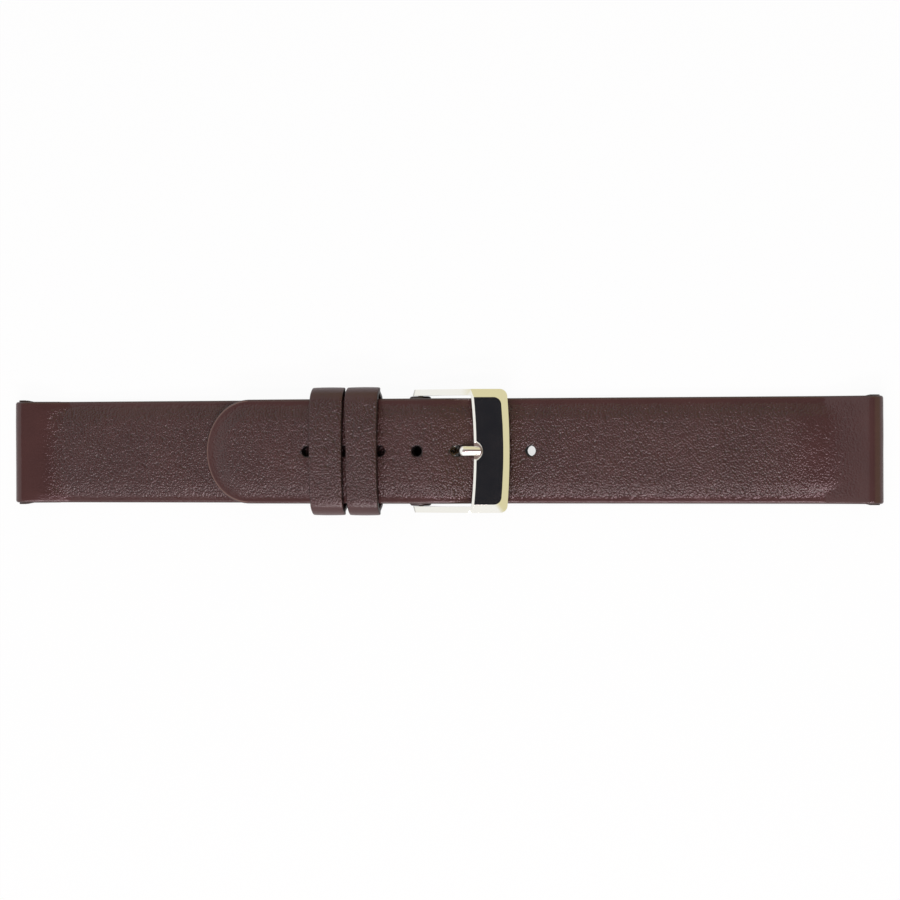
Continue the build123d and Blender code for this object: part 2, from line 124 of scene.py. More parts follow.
bend_point = (SHORT_START + heading(LEAN) * (BAR_STATION + BEND_START)
              + rising(LEAN) * (FULL + REST_GAP))
tip_point = bend_point - heading(LEAN) * OVERLAP_RUN
upper_centre = bend_point - rising(LEAN) * UPPER_BEND
ramp_start = upper_centre + rising(-RAMP) * UPPER_BEND
RAMP_LENGTH = (ramp_start[1] - LOWER_BEND * (1 - cos(RAMP))) / sin(RAMP)
ramp_end = ramp_start + heading(-RAMP) * RAMP_LENGTH
lower_centre = ramp_end + rising(-RAMP) * LOWER_BEND
bend_foot = lower_centre - np.array([0, LOWER_BEND])
STATIONS = np.cumsum([OVERLAP_RUN, UPPER_BEND * (LEAN + RAMP), RAMP_LENGTH, LOWER_BEND * RAMP])


def long_place(distance, height):
    """X and Z of a point on the long piece: its distance from the tip and height off its underside."""
    s = np.asarray(distance, float)
    angle = np.select(
        [s < STATIONS[0], s < STATIONS[1], s < STATIONS[2], s < STATIONS[3]],
        [LEAN, LEAN - (s - STATIONS[0]) / UPPER_BEND, -RAMP, -RAMP + (s - STATIONS[2]) / LOWER_BEND],
        0.0,
    )
    up = np.stack([-np.sin(angle), np.cos(angle)], -1)
    parts = [
        tip_point + s[..., None] * heading(LEAN),
        upper_centre + up * UPPER_BEND,
        ramp_start + (s - STATIONS[1])[..., None] * heading(-RAMP),
        lower_centre - up * LOWER_BEND,
        bend_foot + (s - STATIONS[3])[..., None] * heading(0),
    ]
    which = np.digitize(s, STATIONS)[..., None]
    foot = np.select([which == n for n in range(5)], parts)
    return foot + up * np.asarray(height, float)[..., None]


def short_place(distance, height):
    """X and Z of a point on the short piece: its distance from the lug and height off its underside."""
    s = np.asarray(distance, float)[..., None]
    h = np.asarray(height, float)[..., None]
    return SHORT_START + s * heading(LEAN) + h * rising(LEAN)


# Small helpers


def linear(hex_colour):
    """An sRGB hex colour as a linear RGBA value."""
    parts = [int(hex_colour[i:i + 2], 16) / 255 for i in (1, 3, 5)]
    return [c / 12.92 if c <= 0.04045 else ((c + 0.055) / 1.055) ** 2.4 for c in parts] + [1.0]


def smooth(x):
    """0 below 0, 1 above 1 and an even curve between."""
    x = np.clip(x, 0, 1)
    return x * x * (3 - 2 * x)


def add_node(tree, kind, settings=None, inputs=None, stops=()):
    """Adds a node, sets its properties, fills or links its inputs and sets a colour ramp's stops.

    A node given as an input is linked by its first output."""
    node = tree.nodes.new(kind)
    for key, value in (settings or {}).items():
        setattr(node, key, value)
    for key, value in (inputs or {}).items():
        source = value.outputs[0] if isinstance(value, bpy.types.Node) else value
        if isinstance(source, bpy.types.NodeSocket):
            tree.links.new(source, node.inputs[key])
        else:
            node.inputs[key].default_value = source
    for number, (position, colour) in enumerate(stops):
        stop = node.color_ramp.elements[number]
        stop.position = position
        stop.color = linear(colour)
    return node


def empty_material(name):
    """A material without nodes, and its tree."""
    material = bpy.data.materials.new(name)
    material.use_nodes = True
    material.node_tree.nodes.clear()
    return material, material.node_tree


def new_material(name):
    """A material's start: no nodes but the object coordinates that every pattern uses."""
    material, tree = empty_material(name)
    return material, tree, add_node(tree, "ShaderNodeTexCoord").outputs["Object"]


def finish_material(material, sockets):
    """Ends a material with its shader, whose sockets are filled or linked."""
    shader = add_node(material.node_tree, "ShaderNodeBsdfPrincipled", None, sockets)
    add_node(material.node_tree, "ShaderNodeOutputMaterial", None, {"Surface": shader})
    return material


# Materials

EDGE_PAINT = "#1F1513"
# Near-black painted shade on the walls of the punched holes
HOLE_SHADE_COLOUR = "#0B0807"
# Pale painted highlight along the rounded edge of the oval tip
TIP_HIGHLIGHT_COLOUR = "#755C50"

# Nodes and settings that come up often. A colour mix takes its colours at UNDER and OVER and gives MIXED.
NOISE = "ShaderNodeTexNoise"
CELLS = "ShaderNodeTexVoronoi"
MARK = "ShaderNodeAttribute"
COLOUR_RAMP = "ShaderNodeValToRGB"
RANGE = "ShaderNodeMapRange"
BUMP = "ShaderNodeBump"
MIX = "ShaderNodeMix"
MATH = "ShaderNodeMath"
COLOURS = {"data_type": "RGBA"}
TIMES = {"operation": "MULTIPLY"}
TIMES_PLUS = {"operation": "MULTIPLY_ADD"}
PLUS = {"operation": "ADD"}
MINUS = {"operation": "SUBTRACT"}
MOST = {"operation": "MAXIMUM"}
UNSIGNED = {"operation": "ABSOLUTE"}
EASED = {"interpolation_type": "SMOOTHSTEP"}
UNDER, OVER, MIXED = 6, 7, 2


def paint_hole_shade(tree, cut, colour):
    """A colour that turns black on the walls of the punched holes, where the cut mark is over 1: painted
    shade inside the holes.
    """
    hole_shade = add_node(tree, MATH, MINUS, {0: cut, 1: 1.0})
    mixed = add_node(tree, MIX, COLOURS, {"Factor": hole_shade, UNDER: colour, OVER: linear(HOLE_SHADE_COLOUR)})
    return mixed.outputs[MIXED]


def calf_leather(name, colour, valley, cell, relief, gloss, coat):
    """Pigmented calf leather: small rounded pebbles of grain that glint one by one where the pad swells,
    margins pressed smooth, and painted edges that are darker and duller.

    cell is the width of a pebble and relief its height, in millimetres."""
    material, tree, place = new_material(name)
    grain, cut, tip_highlight = (add_node(tree, MARK, {"attribute_name": mark}).outputs["Fac"]
                        for mark in ("grain", "cut", "tip_highlight"))
    warp = add_node(tree, NOISE, None, {"Vector": place, "Scale": 1 / (1.8 * MM), "Detail": 2.0})
    shift = add_node(tree, "ShaderNodeVectorMath", {"operation": "SCALE"},
                     {0: warp.outputs["Color"], "Scale": 0.4 * MM})
    moved = add_node(tree, "ShaderNodeVectorMath", PLUS, {0: place, 1: shift})
    cells = add_node(tree, CELLS, {"feature": "F1"},
                     {"Vector": moved, "Scale": 1 / (cell * MM), "Randomness": 1.0})
    lumps = add_node(tree, NOISE, None,
                     {"Vector": moved, "Scale": 1 / (0.9 * MM), "Detail": 1.5, "Roughness": 0.5})
    # Folds of 1.6 mm between pebbles, pores of 0.13 mm and slow patches of 6 mm
    folds, fine, patches = (
        add_node(tree, NOISE, None, {"Vector": place, "Scale": 1 / (size * MM), "Detail": detail})
        for size, detail in ((1.6, 2.0), (0.13, 1.0), (6, 3.0)))
    domes = add_node(tree, MATH, TIMES, {0: cells, 1: cells})
    lumps = add_node(tree, MATH, TIMES, {0: lumps, 1: 0.9})
    pebbles = add_node(tree, MATH, TIMES_PLUS, {0: domes, 1: -1.0, 2: lumps})
    bumps = add_node(tree, MATH, TIMES_PLUS, {0: folds, 1: 0.4, 2: pebbles})
    strength = add_node(tree, MATH, TIMES_PLUS, {0: grain, 1: 0.93, 2: 0.07})
    bumps = add_node(tree, MATH, TIMES, {0: bumps, 1: strength})
    height = add_node(tree, MATH, TIMES_PLUS, {0: fine, 1: 0.09, 2: bumps})
    bump = add_node(tree, BUMP, None, {"Height": height, "Distance": relief * MM, "Strength": 1.0})
    depth = add_node(tree, MATH, TIMES, {0: cells, 1: grain})
    depth = add_node(tree, MATH, TIMES, {0: depth, 1: 0.5})
    tone = add_node(tree, MATH, TIMES_PLUS, {0: patches, 1: 0.6, 2: depth})
    dyed = add_node(tree, COLOUR_RAMP, None, {"Fac": tone}, ((0.2, colour), (0.8, valley)))
    # A pale painted highlight where the edge of the oval tip rolls over
    with_tip_highlight = add_node(tree, MIX, COLOURS, {"Factor": tip_highlight, UNDER: dyed, OVER: linear(TIP_HIGHLIGHT_COLOUR)})
    painted = add_node(tree, MIX, COLOURS,
                       {"Factor": cut, UNDER: with_tip_highlight.outputs[MIXED], OVER: linear(EDGE_PAINT)})
    rough = add_node(tree, MATH, TIMES_PLUS, {0: patches, 1: 0.1, 2: gloss})
    rough = add_node(tree, MATH, TIMES_PLUS, {0: cut, 1: 0.2, 2: rough})
    return finish_material(material, {
        "Base Color": paint_hole_shade(tree, cut, painted.outputs[MIXED]), "Roughness": rough,
        "Specular IOR Level": 0.25, "Specular Tint": linear("#F4D8E0"),
        "Coat Weight": coat, "Coat Roughness": 0.12, "Coat Tint": linear("#FFF2F4"),
        "Normal": bump, "Coat Normal": bump})


def lining_hide(name):
    """Undyed vegetable-tanned lining: pale tan, matt, with pores and slow stains from tanning. Its cut
    edges are painted brown, and cream where the paint has come away with wear."""
    material, tree, place = new_material(name)
    cut = add_node(tree, MARK, {"attribute_name": "cut"}).outputs["Fac"]
    stains, fibres, wear = (
        add_node(tree, NOISE, None, {"Vector": place, "Scale": 1 / (size * MM), "Detail": detail})
        for size, detail in ((6, 4.0), (0.25, 3.0), (9, 4.0)))
    pores = add_node(tree, CELLS, {"feature": "F1"}, {"Vector": place, "Scale": 1 / (0.55 * MM)})
    tan = add_node(tree, COLOUR_RAMP, None, {"Fac": stains}, ((0.3, "#A88A62"), (0.7, "#C4A880")))
    paint = add_node(tree, RANGE, None, {"Value": wear, "From Min": 0.66, "From Max": 0.54})
    paint = add_node(tree, MATH, TIMES, {0: cut, 1: paint})
    painted = add_node(tree, MIX, COLOURS, {"Factor": paint, UNDER: tan, OVER: linear(EDGE_PAINT)})
    height = add_node(tree, MATH, TIMES_PLUS, {0: fibres, 1: 0.5, 2: pores})
    bump = add_node(tree, BUMP, None, {"Height": height, "Distance": 0.03 * MM, "Strength": 1.0})
    return finish_material(material, {"Base Color": paint_hole_shade(tree, cut, painted.outputs[MIXED]),
                                      "Roughness": 0.72, "Normal": bump})


def woollen_felt(name):
    """Pressed felt of the filler pads: grey-brown, matt and fibrous."""
    material, tree, place = new_material(name)
    cut = add_node(tree, MARK, {"attribute_name": "cut"}).outputs["Fac"]
    fibres = add_node(tree, NOISE, None,
                      {"Vector": place, "Scale": 1 / (0.4 * MM), "Detail": 5.0, "Distortion": 1.5})
    wool = add_node(tree, COLOUR_RAMP, None, {"Fac": fibres}, ((0, "#4B4038"), (1, "#8A7B6A")))
    bump = add_node(tree, BUMP, None, {"Height": fibres, "Distance": 0.06 * MM})
    return finish_material(material, {"Base Color": paint_hole_shade(tree, cut, wool),
                                      "Roughness": 0.95, "Normal": bump})


def woven_tape(name):
    """Plain-woven nylon tape of the tunnels: dark brown, with threads 0.3 mm apart."""
    material, tree, place = new_material(name)
    parts = add_node(tree, "ShaderNodeSeparateXYZ", None, {"Vector": place}).outputs
    run = add_node(tree, MATH, PLUS, {0: parts["X"], 1: parts["Z"]})
    warp, weft = (
        add_node(tree, MATH, {"operation": "SINE"},
                 {0: add_node(tree, MATH, TIMES, {0: way, 1: 2 * pi / (0.3 * MM)})})
        for way in (parts["Y"], run))
    weave = add_node(tree, MATH, TIMES, {0: warp, 1: weft})
    share = add_node(tree, MATH, TIMES_PLUS, {0: weave, 1: 0.5, 2: 0.5})
    threads = add_node(tree, COLOUR_RAMP, None, {"Fac": share}, ((0, "#2C1F1B"), (1, "#4A3630")))
    bump = add_node(tree, BUMP, None, {"Height": weave, "Distance": 0.03 * MM})
    return finish_material(material, {"Base Color": threads, "Roughness": 0.7, "Normal": bump})


def stainless(name, colour, rough, scratch):
    """Stainless steel: a mirror from the polishing wheel, or a duller turned or drawn surface, with
    hairline scratches that only show in the highlights. Where marked it is rougher, and painted dark as
    painted shade."""
    material, tree, place = new_material(name)
    dull = add_node(tree, MARK, {"attribute_name": "dull"}).outputs["Fac"]
    drawn = add_node(tree, "ShaderNodeMapping", None, {"Vector": place, "Scale": (0.15, 1.0, 1.0)})
    lines, smears = (
        add_node(tree, NOISE, None, {"Vector": way, "Scale": 1 / (size * MM), "Detail": 3.0})
        for way, size in ((drawn, 0.18), (place, 2.5)))
    # Painted shade: the marked steel turns near-black
    shaded_colour = add_node(tree, MIX, COLOURS, {"Factor": dull, UNDER: linear(colour), OVER: linear("#1C1B1A")})
    level = add_node(tree, MATH, TIMES_PLUS, {0: smears, 1: scratch, 2: rough})
    level = add_node(tree, MATH, TIMES_PLUS, {0: lines, 1: 0.5 * scratch, 2: level})
    level = add_node(tree, MATH, TIMES_PLUS, {0: dull, 1: 0.4, 2: level})
    bump = add_node(tree, BUMP, None, {"Height": lines, "Distance": 0.001 * MM, "Strength": 0.6})
    return finish_material(material, {"Metallic": 1.0, "Base Color": shaded_colour.outputs[MIXED],
                                      "Roughness": level, "Normal": bump})


strap_calf = calf_leather("pigmented_calf_leather", "#472E2B", valley="#321E1C", cell=0.36, relief=0.125,
                          gloss=0.42, coat=0.62)
keeper_calf = calf_leather("plated_calf_leather", "#432A28", valley="#2E1C1B", cell=0.38, relief=0.19,
                           gloss=0.4, coat=0.6)
tan_lining = lining_hide("vegetable_tanned_lining")
felt = woollen_felt("pressed_felt")
tape_weave = woven_tape("woven_nylon_tape")
mirror_steel = stainless("polished_stainless_steel", "#EFEDE6", rough=0.03, scratch=0.05)
tongue_steel = stainless("hand_polished_stainless_steel", "#EFEDE9", rough=0.17, scratch=0.05)
pin_steel = stainless("turned_stainless_steel", "#C9C8C4", rough=0.18, scratch=0.1)
spring_steel = stainless("drawn_spring_steel", "#A9A8A6", rough=0.25, scratch=0.12)


# Meshes

WELD = 0.001 * MM


def new_object(name, data):
    """A new object in the scene."""
    thing = bpy.data.objects.new(name, data)
    bpy.context.scene.collection.objects.link(thing)
    return thing


def new_piece(mesh, name, material, sharp=35):
    """An object for a mesh, shaded smooth with creases kept where it turns sharply."""
    mesh.materials.clear()
    mesh.materials.append(material)
    mesh.polygons.foreach_set("material_index", [0] * len(mesh.polygons))
    mesh.polygons.foreach_set("use_smooth", [True] * len(mesh.polygons))
    mesh.set_sharp_from_angle(angle=radians(sharp))
    return new_object(name, mesh)


def add_mark(mesh, mark, values):
    """Gives each point of a mesh its value of a mark that the materials read."""
    data = mesh.attributes.new(mark, "FLOAT", "POINT").data
    data.foreach_set("value", np.asarray(values, np.float32).ravel())


def points_of(mesh):
    """The points of a mesh in millimetres, one a row."""
    flat = np.zeros(len(mesh.vertices) * 3)
    mesh.vertices.foreach_get("co", flat)
    return flat.reshape(-1, 3) / MM


def face_outwards(mesh, weld=False):
    """Turns the faces of a mesh outwards, and first welds its points where they meet, if asked."""
    bm = bmesh.new()
    bm.from_mesh(mesh)
    if weld:
        bmesh.ops.remove_doubles(bm, verts=bm.verts, dist=WELD)
    bmesh.ops.recalc_face_normals(bm, faces=bm.faces)
    bm.to_mesh(mesh)
    bm.free()


def solid_shape(node):
    """A plain solid's own shape, its points welded, to be reworked."""
    bm = bmesh.new()
    bm.from_mesh(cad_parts[node].data)
    bmesh.ops.remove_doubles(bm, verts=bm.verts, dist=WELD)
    return bm


def reworked(bm, name):
    """Mesh of a reworked shape."""
    mesh = bpy.data.meshes.new(name)
    bm.to_mesh(mesh)
    bm.free()
    return mesh


def closed_ladder(points, marks, name, material):
    """A closed piece from rows of points, each joined to the next and the last row to the first.

    Points are in millimetres. marks holds one row of values a name, kept as attributes."""
    rows, count = points.shape[:2]
    row, step = np.meshgrid(np.arange(rows), np.arange(count - 1), indexing="ij")
    near, far = row * count + step, (row + 1) % rows * count + step
    corners = np.stack([near, near + 1, far + 1, far], -1).reshape(-1, 4)
    mesh = bpy.data.meshes.new(name)
    mesh.from_pydata((points.reshape(-1, 3) * MM).tolist(), [], corners.tolist())
    for mark, values in marks.items():
        add_mark(mesh, mark, values)
    face_outwards(mesh, weld=True)
    return new_piece(mesh, name, material)


def apply_modifiers(piece):
    """Turns what a piece's modifiers make into its own plain mesh."""
    evaluated = piece.evaluated_get(bpy.context.evaluated_depsgraph_get())
    mesh = bpy.data.meshes.new_from_object(evaluated)
    piece.modifiers.clear()
    piece.data = mesh
    return piece


def stands_for(piece, node, body):
    """Puts a dressed piece in the place of its plain solid."""
    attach(piece, body)
    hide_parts(node)
    return piece


# Layers of leather

SIDE_MARGIN = 1.1
TIP_MARGIN = 1.6
PAD_SLOPE = 2.6
DOME_POWER = 2.2
EDGE_FALL = 0.14
EDGE_FALL_WIDTH = 1.7
GRAIN_RISE = 1.6
HOLE_DIP = 0.09
DIP_START = 0.8
DIP_FADE = 0.5
HIDE_WAVE = 0.03
OUTER_WIDTH = 4.5
INNER_STEPS = 8
OUTER_STEPS = 18
EDGE_STEPS = 5
TIP_STEPS = 61


def ripple(points, height):
    """Slow unevenness of a hide that was worked by hand, in millimetres."""
    return np.array([
        height * (noise.noise(Vector(p) / 5.5) + 0.35 * noise.noise(Vector(p) / 1.7 + Vector((9, 4, 2))))
        for p in points
    ])


def pad_height(inset, margin):
    """Height of the pad in from the edge: a soft shoulder on a low dome."""
    reach = np.clip((inset - margin) / (HALF_WIDTH - margin), 0, 1)
    return PAD * (0.5 * smooth((inset - margin) / PAD_SLOPE) + 0.5 * (1 - (1 - reach) ** DOME_POWER))


def layer(name, material, place, rows, half, edge_radius, tip=0, flat_back=False, holes=(), wave=0.0,
          widen=None, pressed=None, edge_fall=EDGE_FALL):
    """A layer of leather that follows a line in side view.

    Each row of rows is a station: distance, height and outward direction of the outer face, its
    thickness, its share of the pad and how far it already swells. The rows start at the oval tip,
    if tip gives its length, or else at a cut end. wave is the height of the hide's unevenness, and
    edge_fall how far the margins slope down. widen adds width at a station. pressed gives the share of the
    grain that is left at a station."""
    inner = np.linspace(0, half - OUTER_WIDTH, INNER_STEPS, endpoint=False)
    outer = half - OUTER_WIDTH + np.linspace(0, 1, OUTER_STEPS, endpoint=False) * (OUTER_WIDTH - edge_radius)
    roll = half - edge_radius * (1 - np.sin(np.linspace(0, pi / 2, EDGE_STEPS)))
    outs = np.concatenate([inner, outer, roll])
    ins = outs[::-1][EDGE_STEPS - 1:]
    beyond = np.maximum(outs - half + edge_radius, 0)
    round_off = edge_radius - np.sqrt(np.maximum(edge_radius**2 - beyond**2, 0))
    tip_turns = list(np.linspace(0, pi, TIP_STEPS)[1:-1]) if tip else []
    swing = [None] * len(rows) + tip_turns + [None] * len(rows)
    order = rows[::-1] + [rows[0]] * len(tip_turns) + rows
    sides = [-1] * (len(rows) + len(tip_turns)) + [1] * len(rows)
    points, grains, cuts, tip_highlights = [], [], [], []
    for (s, h, ds, dh, thick, share, swell), turn, side in zip(order, swing, sides):
        reach, margin = half, SIDE_MARGIN
        if turn is not None:
            reach = 1 / sqrt((sin(turn) / tip) ** 2 + (cos(turn) / half) ** 2)
            margin += (TIP_MARGIN - SIDE_MARGIN) * sin(turn) ** 2
        margin = 0 if flat_back else margin - (HALF_WIDTH - half)
        out, back = (wide + (reach - half) * smooth(wide / (half - 1)) for wide in (outs, ins))
        slope = (1 - smooth((reach - out) / EDGE_FALL_WIDTH)) * min(1, share * 2) * (not flat_back)
        drop = round_off + edge_fall * slope
        lifts = [(swell**4 + (share * pad_height(reach - wide, margin)) ** 4) ** 0.25 - swell
                 for wide in (out, back)]
        if flat_back:
            lifts[1] = np.zeros(len(back))
        wide = np.concatenate([out, back])
        if widen:
            wide = wide + widen(s) * smooth(wide / half)
        y = side * wide if turn is None else -cos(turn) * wide
        along = np.zeros(len(wide)) if turn is None else -sin(turn) * wide
        depth = np.concatenate([lifts[0] - drop * min(1, thick / 0.6), lifts[1] - thick])
        for hole, length in holes:
            gap = np.hypot(np.maximum(np.abs(s + along - hole) - length / 2, 0), y)
            depth -= HOLE_DIP * np.exp(-np.maximum(gap - DIP_START, 0) ** 2 / DIP_FADE)
        xz = place(s + along + ds * depth, h + dh * depth)
        ray = np.stack([xz[:, 0], y, xz[:, 1]], -1)
        if wave:
            lifted = depth + ripple(ray, wave)
            xz = place(s + along + ds * lifted, h + dh * lifted)
            ray = np.stack([xz[:, 0], y, xz[:, 1]], -1)
        points.append(ray)
        grain = share * (pressed(s) if pressed else 1) * smooth((reach - out - margin * 0.35) / GRAIN_RISE)
        grains.append(np.concatenate([grain, np.zeros(len(back))]))
        cut = np.concatenate([np.zeros(len(out) - 3), [0.3, 0.8, 1.0], [1.0], np.zeros(len(back) - 1)])
        # The widened loop's sides and the outer strip of its top get the dark edge paint, which here is also
        # painted shade between the frame's arms and the strap
        if widen:
            beside = smooth((np.concatenate([out, back]) - half + 0.5) / 0.4)
            cut = np.maximum(cut, 2 * widen(s) * beside)
        cuts.append(cut)
        # Painted highlight: one ring of points along the rounded edge of the oval tip turns pale
        tip_highlight = np.zeros(len(wide))
        if turn is not None:
            tip_highlight[len(out) - 4] = 1.0
        tip_highlights.append(tip_highlight)
    marks = {"grain": np.array(grains), "cut": np.array(cuts), "tip_highlight": np.array(tip_highlights)}
    return closed_ladder(np.array(points), marks, name, material)


def run_rows(start, end, step, height, thick, share=1.0):
    """Even rows along a straight stretch of the side view."""
    count = max(2, int(round((end - start) / step)) + 1)
    return [(s, height, 0, 1, thick, share, 0) for s in np.linspace(start, end, count)]


def round_rows(centre, turn, height, radius, thick, first, last, count=24):
    """Rows round a tunnel, from one angle to another."""
    return [
        (centre + turn * cos(a) * radius, height + sin(a) * radius, turn * cos(a), sin(a), thick, 0, 0.5)
        for a in np.linspace(first, last, count)
    ]


def lug_end(lug, turn):
    """Rows over the swelling to the lug tunnel, round it and back under the strap.

    turn is 1 where the tunnel lies beyond the run and -1 where it lies before it."""
    rise = 2 * LUG_RADIUS - EDGE
    slope = atan2(rise, LUG_TAPER)
    rows = []
    for x in np.linspace(LUG_TAPER, 0.5, 20):
        swell = rise * (1 - x / LUG_TAPER)
        thick = LUG_FOLD + (FACE - LUG_FOLD) * float(smooth((x - 1) / 5))
        share = float(smooth((x - 0.8) / 4.5))
        rows.append((lug - turn * x, EDGE + swell, turn * sin(slope), cos(slope), thick, share, swell))
    rows += round_rows(lug, turn, LUG_RADIUS, LUG_RADIUS, LUG_FOLD, pi / 2 - 0.06, -pi / 2)
    for x in np.linspace(0, LUG_TAPER - 0.03, 10)[1:]:
        rows.append((lug - turn * x, 0, 0, -1, LUG_FOLD - 0.02 * x / LUG_TAPER, 0, 0.5))
    return rows


FACE_ROUNDING = 0.4
LINING_ROUNDING = 0.1
PAD_ROUNDING = 0.02
PAD_THIN = 0.04
PAD_HALF = HALF_WIDTH - SIDE_MARGIN - 0.1
hole_dips = [(FIRST_HOLE + n * HOLE_PITCH, HOLE_STRETCH * (n == USED_HOLE - 1)) for n in range(HOLES)]
long_run = run_rows(TIP_LENGTH, LONG_LUG - LUG_TAPER, 0.42, EDGE, FACE)
long_face = layer("long_face_leather", strap_calf, long_place, long_run[:-1] + lug_end(LONG_LUG, 1),
                  HALF_WIDTH - 0.03, FACE_ROUNDING, tip=TIP_LENGTH - 0.1, holes=hole_dips,
                  wave=HIDE_WAVE, pressed=lambda s: 0.45 + 0.55 * smooth((LONG_LUG - s - 8) / 9),
                  edge_fall=0.05)
long_lining = layer("long_lining_leather", tan_lining, long_place,
                    run_rows(TIP_LENGTH, LONG_LUG - LUG_TAPER, 0.6, LINING, LINING, share=0),
                    HALF_WIDTH - 0.1, LINING_ROUNDING, tip=TIP_LENGTH - 0.15)
long_felt = layer("long_filler_pad", felt, long_place,
                  run_rows(TIP_LENGTH, LONG_LUG - LUG_TAPER + 1, 0.6, LINING + PAD_THIN, PAD_THIN),
                  PAD_HALF, PAD_ROUNDING, tip=TIP_LENGTH - TIP_MARGIN - 0.1, flat_back=True)

# The short piece: from under its lug tunnel, along the top and round the buckle's bar
TAPER_INSET = 0.9
TAPER_LEAN = -0.11
UNDER_INSET = 0.4
UNDER_LEAN = -0.22
loop_start = BAR_STATION - LOOP_TAPER
loop_rows = []
for share in np.linspace(0, 1, 16)[1:-1]:
    loop_rows.append((loop_start + TAPER_INSET + share * (LOOP_TAPER - TAPER_INSET), EDGE + PAD * share,
                      TAPER_LEAN, 1, FACE + (LOOP_LEATHER - FACE) * float(smooth(2 * share)),
                      float(smooth((0.5 - share) / 0.5)), PAD * share))
loop_rows += round_rows(BAR_STATION, 1, LOOP_HEIGHT, LOOP_RADIUS, LOOP_LEATHER, pi / 2, -pi / 2 + UNDER_LEAN)
loop_drop = LOOP_RADIUS - LOOP_HEIGHT
for share in np.linspace(0, 1, 12)[1:]:
    loop_rows.append((BAR_STATION - UNDER_INSET - share * (LOOP_TAPER - UNDER_INSET),
                      -loop_drop * (1 - share), UNDER_LEAN, -1, LOOP_LEATHER - 0.1 * share, 0, 0.5))
short_rows = (lug_end(0, -1)[::-1] + run_rows(LUG_TAPER, loop_start + TAPER_INSET, 0.45, EDGE, FACE)[1:]
              + loop_rows)
LOOP_EXTRA = 0.5


def loop_widen(station):
    """The loop is left a little wider than the strap, to fill the frame."""
    return LOOP_EXTRA * float(smooth((station - BAR_STATION + LOOP_RADIUS) / 0.5))


short_face = layer("short_face_leather", strap_calf, short_place, short_rows, HALF_WIDTH - 0.14,
                   FACE_ROUNDING, wave=HIDE_WAVE, widen=loop_widen,
                   pressed=lambda s: 0.2 + 0.8 * smooth((s - 1.5) / 7))
short_lining = layer("short_lining_leather", tan_lining, short_place,
                     run_rows(LUG_TAPER, loop_start, 0.8, LINING, LINING, share=0), HALF_WIDTH - 0.24,
                     LINING_ROUNDING)
short_felt = layer("short_filler_pad", felt, short_place,
                   run_rows(LUG_TAPER - 1, loop_start, 0.8, LINING + PAD_THIN, PAD_THIN),
                   PAD_HALF, PAD_ROUNDING, flat_back=True)


# Holes for the tongue, punched square to the strap by geometry nodes


def new_group(name, sockets):
    """A group of geometry nodes with its named inputs, and the outputs that give them."""
    tree = bpy.data.node_groups.new(name, "GeometryNodeTree")
    for socket, kind in sockets.items():
        tree.interface.new_socket(socket, in_out="INPUT", socket_type="NodeSocket" + kind)
    tree.interface.new_socket("Geometry", in_out="OUTPUT", socket_type="NodeSocketGeometry")
    return tree, add_node(tree, "NodeGroupInput").outputs


def end_group(tree, shape, material):
    """Ends a group: its instances become plain mesh and get their material."""
    whole = add_node(tree, "GeometryNodeRealizeInstances", None, {"Geometry": shape})
    dressed = add_node(tree, "GeometryNodeSetMaterial", None, {"Geometry": whole, "Material": material})
    add_node(tree, "NodeGroupOutput", None, {0: dressed})
    return tree


def punch_tree():
    """Nodes that stand a punch on each point of a row and cut all of them out of a layer."""
    tree, given = new_group("punched_row", {
        "Geometry": "Geometry", "Hole row": "Object", "Hole diameter": "Float", "Punch length": "Float",
        "Sides": "Int", "Material": "Material"})
    row = add_node(tree, "GeometryNodeObjectInfo", None, {"Object": given["Hole row"]})
    radius = add_node(tree, MATH, TIMES, {0: given["Hole diameter"], 1: 0.5})
    punch = add_node(tree, "GeometryNodeMeshCylinder", None,
                     {"Vertices": given["Sides"], "Radius": radius, "Depth": given["Punch length"]})
    up, size = (
        add_node(tree, "GeometryNodeInputNamedAttribute", {"data_type": "FLOAT_VECTOR"}, {"Name": mark})
        for mark in ("up", "size"))
    aim = add_node(tree, "FunctionNodeAlignRotationToVector", {"axis": "Z"}, {"Vector": up})
    placed = add_node(tree, "GeometryNodeInstanceOnPoints", None,
                      {"Points": row.outputs["Geometry"], "Instance": punch, "Rotation": aim, "Scale": size})
    punches = add_node(tree, "GeometryNodeRealizeInstances", None, {"Geometry": placed})
    cut = add_node(tree, "GeometryNodeMeshBoolean", {"operation": "DIFFERENCE", "solver": "EXACT"},
                   {0: given["Geometry"], 1: punches})
    return end_group(tree, cut, given["Material"])


def run_nodes(piece, tree, **values):
    """Runs a node tree on a piece with its named inputs set, and keeps the plain mesh."""
    modifier = piece.modifiers.new(tree.name, "NODES")
    modifier.node_group = tree
    for item in tree.interface.items_tree:
        key = item.name.lower().replace(" ", "_")
        if item.in_out == "INPUT" and key in values:
            modifier[item.identifier] = values[key]
    return apply_modifiers(piece)


PUNCH_LENGTH = 8
PUNCH_SIDES = 48
HOLE_SHADE_MARK = 2


def mark_hole_shade(piece):
    """Marks the walls of the punched holes for their painted shade, with a cut mark over 1."""
    mesh = piece.data
    points = points_of(mesh)
    marked = np.zeros(len(points))
    mark = mesh.attributes.get("cut") or mesh.attributes.new("cut", "FLOAT", "POINT")
    mark.data.foreach_get("value", marked)
    for (x, z), (a, b), (_, stretch) in zip(feet, tops, hole_dips):
        up = np.array([a - x, b - z])
        along = (points[:, 0] - x) * up[1] - (points[:, 2] - z) * up[0]
        level = (points[:, 0] - x) * up[0] + (points[:, 2] - z) * up[1]
        radius = HOLE_DIAMETER / 2
        off = np.hypot(along * radius / (radius + stretch / 2), points[:, 1])
        marked[(np.abs(off - radius) < 0.04) & (np.abs(level - 1) < 3)] = HOLE_SHADE_MARK
    mark.data.foreach_set("value", marked.astype(np.float32))


